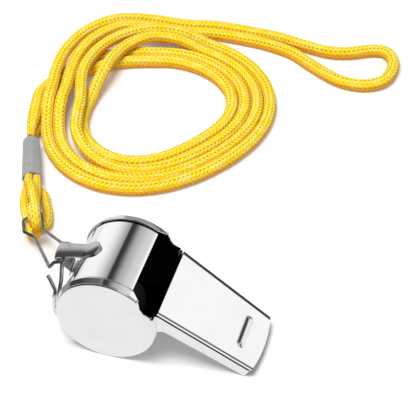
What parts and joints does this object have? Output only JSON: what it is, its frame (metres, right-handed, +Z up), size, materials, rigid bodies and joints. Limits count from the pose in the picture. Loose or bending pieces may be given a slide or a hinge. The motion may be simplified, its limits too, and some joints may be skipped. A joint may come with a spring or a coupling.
{
  "type": "whistle",
  "caption": "Sheet-metal pea whistle with a round barrel, raised discs, a flat mouthpiece, a split ring, a wire clip and a coiled neck cord on a crimp sleeve.",
  "frame": {"origin": "on the surface the whistle lies on, under the middle of the whistle without its lanyard", "axes": "+X from the barrel to the mouthpiece, +Y from the left disc to the right disc, +Z up"},
  "size_m": [0.0872, 0.1171, 0.0218],
  "materials": {
    "barrel_strip": "polished",
    "left_side_plate": "polished",
    "right_side_plate": "polished",
    "mouthpiece_top": "polished",
    "windway_floor": "polished",
    "lug": "polished",
    "pea": "bare cork",
    "split_ring": "bright wire",
    "wire_clip": "drawn wire",
    "crimp_sleeve": "matte grey",
    "cord_eye_left": "braided cord",
    "cord_eye_right": "braided cord",
    "neck_cord": "braided cord"
  },
  "bodies": {
    "whistle": {"barrel_strip": "barrel_strip", "left_side_plate": "left_side_plate", "right_side_plate": "right_side_plate", "mouthpiece_top": "mouthpiece_top", "windway_floor": "windway_floor", "lug": "lug"},
    "pea": {"pea": "pea"},
    "split_ring": {"split_ring": "split_ring"},
    "lanyard": {"wire_clip": "wire_clip", "crimp_sleeve": "crimp_sleeve", "cord_eye_left": "cord_eye_left", "cord_eye_right": "cord_eye_right", "neck_cord": "neck_cord"}
  },
  "joints": [
    {"name": "pea_orbit", "type": "hinge", "parent": "whistle", "child": "pea", "pos_m": [-0.00862, 0, 0.0109], "axis": [0, 1, 0], "continuous": true},
    {"name": "ring_swing", "type": "hinge", "parent": "whistle", "child": "split_ring", "pos_m": [-0.02027, 0, 0.0163], "axis": [0, 1, 0], "range_deg": [0, 14]},
    {"name": "lanyard_swing", "type": "hinge", "parent": "whistle", "child": "lanyard", "pos_m": [-0.02032, 0, 0.01723], "axis": [0, 0, 1], "range_deg": [-4, 8]}
  ]
}
